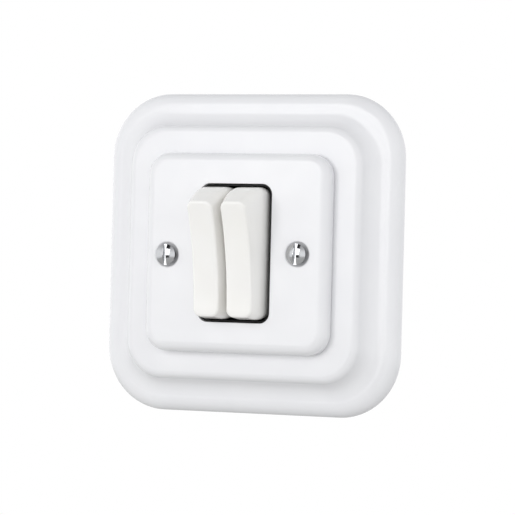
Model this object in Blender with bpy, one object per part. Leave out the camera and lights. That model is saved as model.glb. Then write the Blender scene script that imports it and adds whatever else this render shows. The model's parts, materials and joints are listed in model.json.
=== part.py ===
"""Two-gang rocker wall switch: a porcelain frame and plate over a flush-box mechanism.

Metres, +Z up, front towards -Y, wall plane at y = 0, origin at the switch's centre on the wall.
Every piece is modelled lying face up, as (x, up, out), and one empty stands them all on the wall.
"""
import math

import bmesh
import bpy
from mathutils import Matrix, Vector

MM = 0.001
GAP = 0.3 * MM                # space left between pieces that rest on each other
RUN = 0.15 * MM               # radial clearance of a shaft or screw in its hole

# Outer frame
FRAME_HALF = 50.0 * MM
FRAME_CORNER = 20.0 * MM
LIP_HEIGHT = 6.0 * MM
LIP_RADIUS = 4.3 * MM
COVE_RADIUS = 5.7 * MM
COVE_START = 45.0 * MM
COVE_SWEEP = math.radians(75)
LEDGE_HEIGHT = 12.0 * MM
LEDGE_HALF = 37.0 * MM
LEDGE_CORNER = 10.0 * MM
FRAME_OPENING_HALF = 28.0 * MM
FRAME_WALL = 4.6 * MM

# Cover plate
PLATE_HALF = 30.9 * MM
PLATE_CORNER = 7.0 * MM
PLATE_FACE = 17.3 * MM
PLATE_BACK = LEDGE_HEIGHT + GAP
PLATE_EDGE_RADIUS = 3.0 * MM
OPENING_HALF_X = 12.2 * MM
OPENING_HALF_UP = 21.45 * MM
OPENING_CORNER = 3.3 * MM
SPIGOT_OUTER = FRAME_OPENING_HALF - GAP
SPIGOT_INNER = 25.2 * MM
SPIGOT_END = 9.6 * MM

# Cover screws (M3.5, slotted, raised countersunk): name, x, up and twist of the slot
SCREW_SPOTS = (("left", -23.0 * MM, -0.9 * MM, 0.0), ("right", 21.2 * MM, 0.1 * MM, math.radians(-3)))
SCREW_HEAD_RADIUS = 3.25 * MM
SCREW_SHANK_RADIUS = 1.75 * MM
SCREW_RIM = 18.6 * MM
SCREW_DOME = 0.95 * MM
SCREW_END = 2.6 * MM
COUNTERSINK_RADIUS = 3.8 * MM
SLOT_WIDTH = 1.0 * MM
SLOT_DEPTH = 1.0 * MM

# Mounting strap
STRAP_HALF = 35.5 * MM
STRAP_CORNER = 8.0 * MM
STRAP_THICK = 1.2 * MM
STRAP_CUT_X = 17.4 * MM
STRAP_CUT_UP = 23.5 * MM
STRAP_SEAT = 27.0 * MM        # half width from which the strap's back lies clear of the rear housing
BOX_SCREW_UP = 30.0 * MM
BOX_SLOT_RADIUS = 2.1 * MM
BOX_SLOT_HALF = 3.0 * MM

# Housings
BEARING_HALF_X = 17.9 * MM
BEARING_HALF_UP = 24.6 * MM
BEARING_BACK = STRAP_THICK + GAP
BEARING_FLOOR = 4.5 * MM
BEARING_FRONT = 11.9 * MM
WELL_HALF_X = 11.55 * MM
WELL_HALF_UP = 20.8 * MM
WELL_CORNER = 2.4 * MM
TRIM_TOP = PLATE_FACE - 0.7 * MM
BASE_HALF_X = 20.0 * MM
BASE_HALF_UP = 26.0 * MM
BASE_CORNER = 9.0 * MM
BASE_BACK = -22.0 * MM
BASE_FLOOR = -18.0 * MM
BASE_NECK_X = 17.0 * MM
BASE_NECK_UP = 23.1 * MM
CAVITY_HALF_X = 12.6 * MM
CAVITY_HALF_UP = 20.5 * MM
HOUSING_SCREW_X = 15.2 * MM
HOUSING_SCREW_UP = 19.0 * MM

# Rockers, in heights above their pivot, which lies in the plate's face plane
ROCKER_X = 5.6 * MM
MECHANISM_SHIFT = -0.42 * MM  # the mechanism sits this far off the plate's middle
ROCKER_TILT = math.radians(11.2)
PIVOT_HEIGHT = PLATE_FACE
ROCKER_HALF_X = 5.4 * MM
ROCKER_END_RADIUS = 20.4 * MM
ROCKER_DRAFT = math.tan(math.radians(5))
ROCKER_FLANK_LEVELS = (-7.5 * MM, -3.0 * MM, 1.5 * MM, 6.0 * MM)
ROCKER_FACE = 9.1 * MM
ROCKER_HOLLOW_RADIUS = 85.0 * MM
ROCKER_TOP_X = 4.3 * MM
ROCKER_TOP_UP = 18.1 * MM
ROCKER_CORNER = 2.4 * MM
ROCKER_EDGE = 1.0 * MM
ROCKER_WALL = 1.4 * MM
ROCKER_ROOF = 2.0 * MM
STEM_HALF_X = 2.0 * MM
STEM_HALF_UP = 2.4 * MM
STEM_END = -16.6 * MM
PIN_RADIUS = 0.9 * MM
PIN_HALF = 3.3 * MM
CHEEK_INNER = 2.4 * MM
CHEEK_OUTER = 3.4 * MM
CHEEK_HALF_UP = 2.0 * MM
SPRING_BORE = 1.15 * MM
SPRING_TOP = -8.3 * MM
PLUNGER_TAIL = -13.6 * MM
PLUNGER_TIP = -18.0 * MM
PLUNGER_RADIUS = 1.0 * MM

# Contacts and terminals
BRIDGE_TILT = math.radians(-7)
BRIDGE_HEIGHT = -1.8 * MM
BRIDGE_THICK = 0.8 * MM
BRIDGE_HALF_X = 1.6 * MM
BRIDGE_HALF_UP = 9.0 * MM
TIP_UP = -8.0 * MM
TIP_RADIUS = 1.4 * MM
RAIL_TOP = -2.6 * MM
STRIP_TOP = -4.8 * MM
STRIP_THICK = 0.8 * MM
TERMINAL_UP = 15.8 * MM
TERMINAL_X = 7.5 * MM
CLAMP_HALF_X = 3.5 * MM
CLAMP_HALF_UP = 3.2 * MM
CLAMP_FRONT = -10.6 * MM
CLAMP_BACK = -17.6 * MM
WIRE_HEIGHT = -14.0 * MM
WIRE_HOLE = 1.6 * MM
STRIP_LEG = 14.6 * MM

ROUND_STEPS = 20
CORNER_STEPS = 5


def clear_scene():
    for obj in list(bpy.data.objects):
        bpy.data.objects.remove(obj, do_unlink=True)


def make_material(name, colour, roughness, metallic=0.0):
    material = bpy.data.materials.new(name)
    material.use_nodes = True
    shader = material.node_tree.nodes["Principled BSDF"]
    shader.inputs["Base Color"].default_value = (*colour, 1.0)
    shader.inputs["Roughness"].default_value = roughness
    shader.inputs["Metallic"].default_value = metallic
    return material


def add_object(name, bm, material, place=(0, 0, 0), turn=(0, 0, 0), sharp=35):
    """Finish a bmesh as a named object on the standing empty, at (x, up, out)."""
    bmesh.ops.recalc_face_normals(bm, faces=bm.faces[:])
    mesh = bpy.data.meshes.new(name)
    bm.to_mesh(mesh)
    bm.free()
    mesh.shade_smooth()
    mesh.set_sharp_from_angle(angle=math.radians(sharp))
    mesh.materials.append(material)
    obj = bpy.data.objects.new(name, mesh)
    bpy.context.collection.objects.link(obj)
    obj.parent = bpy.data.objects["wall_plane"]
    obj.location = place
    obj.rotation_euler = turn
    return obj


def combine(obj, tool, operation="DIFFERENCE"):
    """Cut with, or join, a tool shape that isn't a piece itself."""
    tool.hide_render = True
    tool.display_type = "WIRE"
    modifier = obj.modifiers.new(tool.name, "BOOLEAN")
    modifier.operation = operation
    modifier.solver = "EXACT"
    modifier.object = tool


def outline(half_x, half_up, radius, corner_steps=CORNER_STEPS, side_steps=1):
    """Anticlockwise rounded rectangle: right half from bottom to top, then its mirror back down."""
    right = []
    for sign in (-1, 1):
        for step in range(corner_steps + 1):
            angle = math.pi / 2 * (step / corner_steps - (1 if sign < 0 else 0))
            x = half_x - radius + radius * math.cos(angle)
            up = sign * (half_up - radius) + radius * math.sin(angle)
            right.append((x, up))
        if sign < 0:
            reach = half_up - radius
            for step in range(1, side_steps):
                right.append((half_x, -reach + 2 * reach * step / side_steps))
    return right + [(-x, up) for x, up in reversed(right)]


def skin(bm, rings, closed=False):
    """Join rings of equal length into a wall of quads. A ring is (outline, out), where out is a
    height or a function that gives the height at an up position."""
    loops = []
    for points, out in rings:
        rise = out if callable(out) else (lambda up, level=out: level)
        loops.append([bm.verts.new((x, up, rise(up))) for x, up in points])
    pairs = list(zip(loops, loops[1:]))
    if closed:
        pairs.append((loops[-1], loops[0]))
    for low, high in pairs:
        count = len(low)
        for i in range(count):
            j = (i + 1) % count
            bm.faces.new((low[i], low[j], high[j], high[i]))
    return loops


def ladder(bm, loop):
    """Fill a symmetric loop with quads from its right half across to its left half."""
    half = len(loop) // 2
    for i in range(half - 1):
        bm.faces.new((loop[i], loop[i + 1], loop[-2 - i], loop[-1 - i]))


def prism(rings):
    """A solid with flat ends, through outlines at rising heights."""
    bm = bmesh.new()
    loops = skin(bm, rings)
    bm.faces.new(loops[0])
    bm.faces.new(loops[-1])
    return bm


def box(low, high):
    """A bmesh block between two corners given as (x, up, out)."""
    bm = bmesh.new()
    size = [b - a for a, b in zip(low, high)]
    middle = [(a + b) / 2 for a, b in zip(low, high)]
    place = Matrix.Translation(middle) @ Matrix.Diagonal((*size, 1.0))
    bmesh.ops.create_cube(bm, size=1.0, matrix=place)
    return bm


def turned(profile, steps=ROUND_STEPS):
    """Spin a profile of (radius, out) points round the out axis."""
    bm = bmesh.new()
    verts = [bm.verts.new((radius, 0, out)) for radius, out in profile]
    edges = [bm.edges.new(pair) for pair in zip(verts, verts[1:])]
    bmesh.ops.spin(bm, geom=verts + edges, cent=(0, 0, 0), axis=(0, 0, 1),
                   angle=2 * math.pi, steps=steps, use_merge=True)
    bmesh.ops.remove_doubles(bm, verts=bm.verts[:], dist=0.001 * MM)
    return bm


def rod(radius, low, high, steps=ROUND_STEPS):
    return turned([(0, low), (radius, low), (radius, high), (0, high)], steps)


def arc(centre, radius, start, end, steps):
    """Points on an arc, with angles in radians."""
    points = []
    for step in range(steps + 1):
        angle = start + (end - start) * step / steps
        points.append((centre[0] + radius * math.cos(angle), centre[1] + radius * math.sin(angle)))
    return points


def frame_corner(half):
    """Corner radius of the frame's outline where it has the given half width."""
    slope = (FRAME_CORNER - LEDGE_CORNER) / (FRAME_HALF - LEDGE_HALF)
    return LEDGE_CORNER + (half - LEDGE_HALF) * slope


def make_outer_frame(material):
    """Square frame: round lip, cove, raised ledge, hollow back."""
    lip_centre = (FRAME_HALF - LIP_RADIUS, LIP_HEIGHT - LIP_RADIUS)
    cove_centre = (COVE_START, LIP_HEIGHT + COVE_RADIUS)
    cove_turn = -math.pi / 2 - COVE_SWEEP
    profile = [(FRAME_HALF - 0.4 * MM, 0.0)]
    profile += arc(lip_centre, LIP_RADIUS, 0, math.pi / 2, 5)
    profile += arc(cove_centre, COVE_RADIUS, -math.pi / 2, cove_turn, 5)
    cove_end = profile[-1]
    brow = (LEDGE_HEIGHT - cove_end[1]) / (1 - math.cos(COVE_SWEEP))
    brow_centre = (cove_end[0] - brow * math.sin(COVE_SWEEP), LEDGE_HEIGHT - brow)
    profile += arc(brow_centre, brow, math.pi / 2 - COVE_SWEEP, math.pi / 2, 3)[1:]
    profile.append((FRAME_OPENING_HALF, LEDGE_HEIGHT))
    under = LEDGE_HEIGHT - FRAME_WALL
    profile.append((FRAME_OPENING_HALF, under))
    profile.append((brow_centre[0] - 2.2 * MM, under))
    profile.append((cove_end[0], under - 3.2 * MM))
    profile.append((FRAME_HALF - 6.5 * MM, 1.8 * MM))
    profile.append((FRAME_HALF - 5.5 * MM, 0.0))
    bm = bmesh.new()
    skin(bm, [(outline(a, a, frame_corner(a)), out) for a, out in profile], closed=True)
    return add_object("outer_frame", bm, material)


def make_cover_plate(material):
    """Centre plate with the rocker opening, a locating spigot and two countersunk holes."""
    corner_inset = PLATE_HALF - PLATE_CORNER
    edge_centre = (PLATE_HALF - PLATE_EDGE_RADIUS, PLATE_FACE - PLATE_EDGE_RADIUS)
    rings = [(outline(PLATE_HALF, PLATE_HALF, PLATE_CORNER), PLATE_BACK)]
    for half, out in arc(edge_centre, PLATE_EDGE_RADIUS, 0, math.pi / 2, 4):
        rings.append((outline(half, half, half - corner_inset), out))
    opening = outline(OPENING_HALF_X, OPENING_HALF_UP, OPENING_CORNER)
    rings += [(opening, PLATE_FACE), (opening, PLATE_BACK)]
    for half, out in ((SPIGOT_INNER, PLATE_BACK), (SPIGOT_INNER, SPIGOT_END),
                      (SPIGOT_OUTER, SPIGOT_END), (SPIGOT_OUTER, PLATE_BACK)):
        rings.append((outline(half, half, half - corner_inset), out))
    bm = bmesh.new()
    skin(bm, rings, closed=True)
    plate = add_object("cover_plate", bm, material)
    shank_hole = SCREW_SHANK_RADIUS + GAP
    cone_depth = COUNTERSINK_RADIUS - shank_hole
    over = 1.0 * MM
    for name, x, up, twist in SCREW_SPOTS:
        hole = [(0, SPIGOT_END), (shank_hole, SPIGOT_END), (shank_hole, PLATE_FACE - cone_depth),
                (COUNTERSINK_RADIUS + over, PLATE_FACE + over), (0, PLATE_FACE + over)]
        combine(plate, add_object("plate_hole_" + name, turned(hole), material, (x, up, 0)))
    return plate


def make_slotted_screw(name, material, place, head, slot, turn=(0, 0, 0)):
    """A turned screw whose profile runs from shank end to crown, with a slot (width, depth)."""
    screw = add_object(name, turned(head), material, place, turn)
    crown = head[-1][1]
    reach = max(radius for radius, out in head) + 1.0 * MM
    width, depth = slot
    blade = box((-width / 2, -reach, crown - depth), (width / 2, reach, crown + 1.0 * MM))
    combine(screw, add_object(name + "_slot", blade, material, place, turn))
    return screw


def make_cover_screws(material):
    crown_radius = (SCREW_HEAD_RADIUS ** 2 + SCREW_DOME ** 2) / (2 * SCREW_DOME)
    half_angle = math.asin(SCREW_HEAD_RADIUS / crown_radius)
    rim = SCREW_RIM
    cone_end = rim - 0.2 * MM - (SCREW_HEAD_RADIUS - SCREW_SHANK_RADIUS)
    profile = [(0, SCREW_END), (SCREW_SHANK_RADIUS - 0.5 * MM, SCREW_END),
               (SCREW_SHANK_RADIUS, SCREW_END + 0.6 * MM), (SCREW_SHANK_RADIUS, cone_end),
               (SCREW_HEAD_RADIUS, rim - 0.2 * MM)]
    dome_centre = (0, rim + SCREW_DOME - crown_radius)
    profile += arc(dome_centre, crown_radius, math.pi / 2 - half_angle, math.pi / 2, 3)
    profile[-1] = (0, profile[-1][1])
    for name, x, up, twist in SCREW_SPOTS:
        make_slotted_screw("cover_screw_" + name, material, (x, up, 0), profile,
                           (SLOT_WIDTH, SLOT_DEPTH), (0, 0, twist))


def make_pillars(material):
    """Threaded pillars riveted to the strap, which the cover screws enter."""
    bore = SCREW_SHANK_RADIUS + RUN
    body = 3.0 * MM
    neck = 2.5 * MM
    top = SPIGOT_END - 0.7 * MM
    profile = [(bore, 0.1 * MM), (neck, 0.1 * MM), (neck, STRAP_THICK + GAP),
               (body, STRAP_THICK + GAP), (body, top), (bore, top), (bore, 0.1 * MM)]
    for name, x, up, twist in SCREW_SPOTS:
        add_object("threaded_pillar_" + name, turned(profile), material, (x, up, 0))


def make_strap(material):
    """Pressed steel plate with the mechanism cut-out, four screw slots and two rivet holes."""
    outer = outline(STRAP_HALF, STRAP_HALF, STRAP_CORNER)
    inner = outline(STRAP_CUT_X, STRAP_CUT_UP, BASE_CORNER - 2.4 * MM)
    bm = bmesh.new()
    seat = outline(STRAP_SEAT, STRAP_SEAT, STRAP_CORNER)
    rings = [(outer, 0.0), (outer, STRAP_THICK), (inner, STRAP_THICK), (inner, 0.0), (seat, 0.0)]
    skin(bm, rings, closed=True)
    strap = add_object("mounting_strap", bm, material)
    over = 1.0 * MM
    for index in range(4):
        slot_shape = outline(BOX_SLOT_HALF + BOX_SLOT_RADIUS, BOX_SLOT_RADIUS, BOX_SLOT_RADIUS * 0.98)
        tool = prism([(slot_shape, -over), (slot_shape, STRAP_THICK + over)])
        angle = index * math.pi / 2
        place = (BOX_SCREW_UP * math.sin(angle), BOX_SCREW_UP * math.cos(angle), 0)
        combine(strap, add_object(f"strap_slot_{index}", tool, material, place, (0, 0, -angle)))
    for name, x, up, twist in SCREW_SPOTS:
        tool = rod(2.5 * MM + GAP, -over, STRAP_THICK + over)
        combine(strap, add_object("strap_hole_" + name, tool, material, (x, up, 0)))
    return strap


def make_cheek_tool(name, material, x_low, x_high):
    """Bearing cheek: a post with a round top that holds one end of a rocker pin."""
    foot = BEARING_FLOOR - 0.8 * MM - PIVOT_HEIGHT
    points = [(-CHEEK_HALF_UP, foot), (CHEEK_HALF_UP, foot)]
    points += arc((0, 0), CHEEK_HALF_UP, 0, math.pi, 8)
    bm = bmesh.new()
    face = bm.faces.new([bm.verts.new((x_low, up, out)) for up, out in points])
    grown = bmesh.ops.extrude_face_region(bm, geom=[face])
    moved = [item for item in grown["geom"] if isinstance(item, bmesh.types.BMVert)]
    bmesh.ops.translate(bm, verts=moved, vec=(x_high - x_low, 0, 0))
    return add_object(name, bm, material, (0, 0, PIVOT_HEIGHT))


def make_bearing_housing(material):
    """Front housing: a well under the rockers, with two bearing cheeks for each."""
    body = outline(BEARING_HALF_X, BEARING_HALF_UP, 4.0 * MM)
    well = outline(WELL_HALF_X, WELL_HALF_UP, WELL_CORNER)
    rings = [(body, BEARING_BACK), (body, BEARING_FRONT), (well, BEARING_FRONT), (well, BEARING_FLOOR)]
    housing = add_object("bearing_housing", prism(rings), material)
    over = 1.0 * MM
    along_x = (0, math.pi / 2, 0)
    for side, name in ((-1, "left"), (1, "right")):
        centre = rocker_x(side)
        for inner, outer, where in ((-CHEEK_OUTER, -CHEEK_INNER, "a"), (CHEEK_INNER, CHEEK_OUTER, "b")):
            tool = make_cheek_tool(f"cheek_{name}_{where}", material, centre + inner, centre + outer)
            combine(housing, tool, "UNION")
        bore = rod(PIN_RADIUS + 0.1 * MM, -CHEEK_OUTER - 0.2 * MM, CHEEK_OUTER + 0.2 * MM)
        place = (centre, 0, PIVOT_HEIGHT)
        combine(housing, add_object("pin_bore_" + name, bore, material, place, along_x))
        reach = 5.9 * MM
        slot = box((centre - 2.35 * MM, -reach, BEARING_BACK - over),
                   (centre + 2.35 * MM, reach, BEARING_FLOOR + over))
        combine(housing, add_object("stem_slot_" + name, slot, material))
        hole = [(0, BEARING_BACK - over), (1.35 * MM, BEARING_BACK - over), (1.35 * MM, 9.6 * MM),
                (2.2 * MM, 9.6 * MM), (2.2 * MM, BEARING_FRONT + over), (0, BEARING_FRONT + over)]
        spot = (side * HOUSING_SCREW_X, side * HOUSING_SCREW_UP, 0)
        combine(housing, add_object("housing_hole_" + name, turned(hole), material, spot))
    return housing


def make_opening_trim(material):
    """Thin ring on the front housing that lines the plate's opening."""
    outer = outline(OPENING_HALF_X - GAP, OPENING_HALF_UP - GAP, OPENING_CORNER - GAP)
    inner = outline(WELL_HALF_X, WELL_HALF_UP, WELL_CORNER)
    foot = BEARING_FRONT + GAP
    bm = bmesh.new()
    skin(bm, [(outer, foot), (outer, TRIM_TOP), (inner, TRIM_TOP), (inner, foot)], closed=True)
    return add_object("opening_trim", bm, material)


def terminals():
    """Name, x and up of each of the three terminals."""
    return (("common", 0.0, TERMINAL_UP), ("left", -TERMINAL_X, -TERMINAL_UP),
            ("right", TERMINAL_X, -TERMINAL_UP))


def make_base_housing(material):
    """Rear housing inside the wall box: cavity, screwdriver holes, wire entries."""
    body = outline(BASE_HALF_X, BASE_HALF_UP, BASE_CORNER)
    neck = outline(BASE_NECK_X, BASE_NECK_UP, BASE_CORNER - 3.0 * MM)
    cavity = outline(CAVITY_HALF_X, CAVITY_HALF_UP, 2.0 * MM)
    rings = [(body, BASE_BACK), (body, -GAP), (neck, -GAP), (neck, STRAP_THICK),
             (cavity, STRAP_THICK), (cavity, BASE_FLOOR)]
    base = add_object("base_housing", prism(rings), material)
    over = 1.0 * MM
    for name, x, up in terminals():
        hole = rod(2.7 * MM, BASE_BACK - over, BASE_FLOOR + over)
        combine(base, add_object("driver_hole_" + name, hole, material, (x, up, 0)))
        entry = rod(WIRE_HOLE + 0.3 * MM, -4.0 * MM, 4.0 * MM)
        place = (x, math.copysign(BASE_HALF_UP - 2.7 * MM, up), WIRE_HEIGHT)
        combine(base, add_object("wire_entry_" + name, entry, material, place, (math.pi / 2, 0, 0)))
    for side, name in ((-1, "left"), (1, "right")):
        hole = rod(1.35 * MM, -10.0 * MM, STRAP_THICK + over)
        spot = (side * HOUSING_SCREW_X, side * HOUSING_SCREW_UP, 0)
        combine(base, add_object("base_bore_" + name, hole, material, spot))
    return base


def rocker_x(side):
    """Where a rocker's middle lies, for side -1 or 1."""
    return side * ROCKER_X + MECHANISM_SHIFT


def rocker_face(up, depth=0.0):
    """Height of the dished front face above the pivot, lowered by a depth."""
    return ROCKER_FACE + ROCKER_HOLLOW_RADIUS - math.sqrt(ROCKER_HOLLOW_RADIUS ** 2 - up ** 2) - depth


def rocker_end(out):
    """Half length that swings clear of the opening at a height above the pivot."""
    return math.sqrt(ROCKER_END_RADIUS ** 2 - out ** 2)


def make_rocker(name, material, side):
    """Hollow dished rocker with a central stem that carries its pin, spring and plunger."""
    steps = 8

    def ring(half_x, half_up, radius=ROCKER_CORNER):
        return outline(half_x, half_up, radius, 4, steps)

    skirt = ROCKER_FLANK_LEVELS[0]
    hollow_x = ROCKER_HALF_X - ROCKER_WALL
    hollow_corner = 1.0 * MM
    rings = [(ring(hollow_x - 0.4 * MM, ROCKER_TOP_UP - ROCKER_WALL, hollow_corner),
              lambda up: rocker_face(up, ROCKER_ROOF)),
             (ring(hollow_x, rocker_end(skirt) - ROCKER_WALL, hollow_corner), skirt)]
    for out in ROCKER_FLANK_LEVELS:
        half_x = ROCKER_HALF_X - max(out, 0.0) * ROCKER_DRAFT
        rings.append((ring(half_x, rocker_end(out)), out))
    for angle in (0, 30, 60, 90):
        inset = ROCKER_EDGE * (1 - math.cos(math.radians(angle)))
        drop = ROCKER_EDGE * (1 - math.sin(math.radians(angle)))
        rings.append((ring(ROCKER_TOP_X - inset, ROCKER_TOP_UP - inset),
                      lambda up, drop=drop: rocker_face(up, drop)))
    bm = bmesh.new()
    loops = skin(bm, rings)
    ladder(bm, loops[0])
    ladder(bm, loops[-1])
    place = (rocker_x(side), 0, PIVOT_HEIGHT)
    tilt = (ROCKER_TILT, 0, 0)
    rocker = add_object("rocker_" + name, bm, material, place, tilt, 30)
    stem = box((-STEM_HALF_X, -STEM_HALF_UP, STEM_END),
               (STEM_HALF_X, STEM_HALF_UP, ROCKER_FACE - ROCKER_ROOF / 2))
    combine(rocker, add_object("stem_" + name, stem, material, place, tilt), "UNION")
    bore = rod(SPRING_BORE, STEM_END - 1.0 * MM, SPRING_TOP + GAP)
    combine(rocker, add_object("spring_bore_" + name, bore, material, place, tilt))
    eye = rod(PIN_RADIUS + 0.1 * MM, -3.0 * MM, 3.0 * MM)
    combine(rocker, add_object("stem_eye_" + name, eye, material, place, (0, math.pi / 2, 0)))
    return rocker


def coil(radius, wire, low, high, turns, steps=10, sides=6):
    """Compression spring: a wire swept along a helix, with flat ends."""
    bm = bmesh.new()
    count = round(turns * steps)
    lead = (high - low) / (turns * 2 * math.pi)
    loops = []
    for index in range(count + 1):
        angle = 2 * math.pi * index / steps
        across = Vector((math.cos(angle), math.sin(angle), 0))
        along = Vector((-math.sin(angle) * radius, math.cos(angle) * radius, lead)).normalized()
        middle = across * radius + Vector((0, 0, low + lead * angle))
        side = along.cross(across)
        loop = []
        for corner in range(sides):
            bend = 2 * math.pi * corner / sides
            loop.append(bm.verts.new(middle + wire * (across * math.cos(bend) + side * math.sin(bend))))
        loops.append(loop)
    for first, second in zip(loops, loops[1:]):
        for i in range(sides):
            j = (i + 1) % sides
            bm.faces.new((first[i], first[j], second[j], second[i]))
    bm.faces.new(loops[0])
    bm.faces.new(loops[-1])
    return bm


def make_rocker_gear(name, materials, side):
    """Pin, spring and plunger of one rocker."""
    place = (rocker_x(side), 0, PIVOT_HEIGHT)
    tilt = (ROCKER_TILT, 0, 0)
    pin = rod(PIN_RADIUS, -PIN_HALF, PIN_HALF)
    add_object("rocker_pin_" + name, pin, materials["steel"], place, (0, math.pi / 2, 0))
    nose = PLUNGER_RADIUS
    plunger = arc((0, PLUNGER_TIP + nose), nose, -math.pi / 2, 0, 4)
    plunger[0] = (0, PLUNGER_TIP)
    plunger += [(PLUNGER_RADIUS, PLUNGER_TAIL), (0, PLUNGER_TAIL)]
    add_object("plunger_" + name, turned(plunger, 14), materials["brass"], place, tilt)
    wire = 0.17 * MM
    spring = coil(0.75 * MM, wire, PLUNGER_TAIL + GAP + wire, SPRING_TOP - wire, 5)
    add_object("plunger_spring_" + name, spring, materials["steel"], place, tilt)


def bent_strip(start, leg, top, half_x):
    """L-shaped metal strip, centred on x = 0: flat from start to leg, then down to a clamp."""
    inward = math.copysign(STRIP_THICK, start - leg)
    foot = CLAMP_FRONT + GAP
    points = [(start, top), (leg, top), (leg, foot), (leg + inward, foot),
              (leg + inward, top - STRIP_THICK), (start, top - STRIP_THICK)]
    bm = bmesh.new()
    face = bm.faces.new([bm.verts.new((-half_x, up, out)) for up, out in points])
    grown = bmesh.ops.extrude_face_region(bm, geom=[face])
    moved = [item for item in grown["geom"] if isinstance(item, bmesh.types.BMVert)]
    bmesh.ops.translate(bm, verts=moved, vec=(2 * half_x, 0, 0))
    return bm


def make_contact_set(name, materials, side):
    """Moving bridge with its silver tip, and the fixed strip with the tip it meets."""
    x = rocker_x(side)
    pivot = (x, 0, BRIDGE_HEIGHT)
    tilt = (BRIDGE_TILT, 0, 0)
    bridge = box((-BRIDGE_HALF_X, -BRIDGE_HALF_UP, 0), (BRIDGE_HALF_X, BRIDGE_HALF_UP, BRIDGE_THICK))
    upright = [e for e in bridge.edges if abs(e.verts[0].co.z - e.verts[1].co.z) > 0.1 * MM]
    bmesh.ops.bevel(bridge, geom=upright, offset=0.8 * MM, segments=2, profile=0.5, affect="EDGES")
    bridge_piece = add_object("contact_bridge_" + name, bridge, materials["brass"], pivot, tilt)
    rivet = 0.6 * MM
    hole = rod(rivet + RUN, -1.0 * MM, BRIDGE_THICK + 1.0 * MM, 12)
    hole_tool = add_object("bridge_hole_" + name, hole, materials["brass"], pivot, tilt)
    hole_tool.data.transform(Matrix.Translation((0, TIP_UP, 0)))
    combine(bridge_piece, hole_tool)
    tip = turned([(0, -0.9 * MM), (TIP_RADIUS, -0.9 * MM), (TIP_RADIUS, -0.2 * MM), (rivet, -0.2 * MM),
                  (rivet, BRIDGE_THICK), (0, BRIDGE_THICK)], 14)
    bmesh.ops.translate(tip, verts=tip.verts[:], vec=(0, TIP_UP, 0))
    add_object("moving_tip_" + name, tip, materials["silver"], pivot, tilt)
    tip_gap = 0.2 * MM
    fixed = rod(TIP_RADIUS, STRIP_TOP + tip_gap, STRIP_TOP + 0.8 * MM, 14)
    add_object("fixed_tip_" + name, fixed, materials["silver"], (x, TIP_UP, 0))
    strip = bent_strip(-6.4 * MM, -STRIP_LEG, STRIP_TOP, 2.0 * MM)
    add_object("fixed_contact_" + name, strip, materials["brass"], (x, 0, 0))


def make_common_rail(material):
    """Brass rail that carries both bridges on low ridges and runs to the common terminal."""
    rail = add_object("common_rail", bent_strip(-1.6 * MM, STRIP_LEG, RAIL_TOP, 2.0 * MM), material)
    cross = box((-8.0 * MM, -1.5 * MM, RAIL_TOP - STRIP_THICK - 0.1 * MM),
                (8.0 * MM, 1.5 * MM, RAIL_TOP + 0.1 * MM))
    combine(rail, add_object("rail_cross", cross, material), "UNION")
    for side, name in ((-1, "left"), (1, "right")):
        centre = rocker_x(side)
        ridge = box((centre - 1.6 * MM, -0.3 * MM, RAIL_TOP - STRIP_THICK / 2),
                    (centre + 1.6 * MM, 0.3 * MM, BRIDGE_HEIGHT - GAP))
        combine(rail, add_object("rail_ridge_" + name, ridge, material), "UNION")
    return rail


def make_terminals(materials):
    """Clamps with a wire hole and their slotted screws."""
    for name, x, up in terminals():
        block = box((-CLAMP_HALF_X, -CLAMP_HALF_UP, CLAMP_BACK), (CLAMP_HALF_X, CLAMP_HALF_UP, CLAMP_FRONT))
        clamp = add_object("terminal_clamp_" + name, block, materials["brass"], (x, up, 0))
        thread = rod(1.45 * MM + RUN, CLAMP_BACK - 1.0 * MM, WIRE_HEIGHT)
        combine(clamp, add_object("clamp_thread_" + name, thread, materials["brass"], (x, up, 0)))
        wire = rod(WIRE_HOLE, -5.0 * MM, 5.0 * MM)
        place = (x, up, WIRE_HEIGHT)
        combine(clamp, add_object("clamp_wire_" + name, wire, materials["brass"], place, (math.pi / 2, 0, 0)))
        head = [(0, 15.9 * MM), (1.45 * MM, 15.9 * MM), (1.45 * MM, 19.2 * MM), (2.4 * MM, 19.2 * MM),
                (2.4 * MM, 20.7 * MM), (2.1 * MM, 21.0 * MM), (0, 21.0 * MM)]
        make_slotted_screw("terminal_screw_" + name, materials["zinc"], (x, up, 0), head,
                           (0.8 * MM, 0.8 * MM), (math.pi, 0, math.radians(25 if up > 0 else -30)))


def make_fasteners(materials):
    """Screws into the wall box, and the two that hold the housings together."""
    for sign, name in ((1, "top"), (-1, "bottom")):
        head = [(0, -15.0 * MM), (0.8 * MM, -15.0 * MM), (1.6 * MM, -13.5 * MM),
                (1.6 * MM, STRAP_THICK + GAP),
                (3.0 * MM, STRAP_THICK + GAP), (3.0 * MM, 2.6 * MM), (2.2 * MM, 3.4 * MM), (0, 3.5 * MM)]
        make_slotted_screw("box_screw_" + name, materials["zinc"], (0, sign * BOX_SCREW_UP, 0), head,
                           (0.9 * MM, 0.9 * MM))
    for side, name in ((1, "upper"), (-1, "lower")):
        head = [(0, -9.0 * MM), (1.2 * MM, -9.0 * MM), (1.2 * MM, 9.8 * MM), (2.0 * MM, 9.8 * MM),
                (2.0 * MM, 11.2 * MM), (0, 11.4 * MM)]
        spot = (side * HOUSING_SCREW_X, side * HOUSING_SCREW_UP, 0)
        make_slotted_screw("housing_screw_" + name, materials["zinc"], spot, head, (0.7 * MM, 0.7 * MM))


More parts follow.
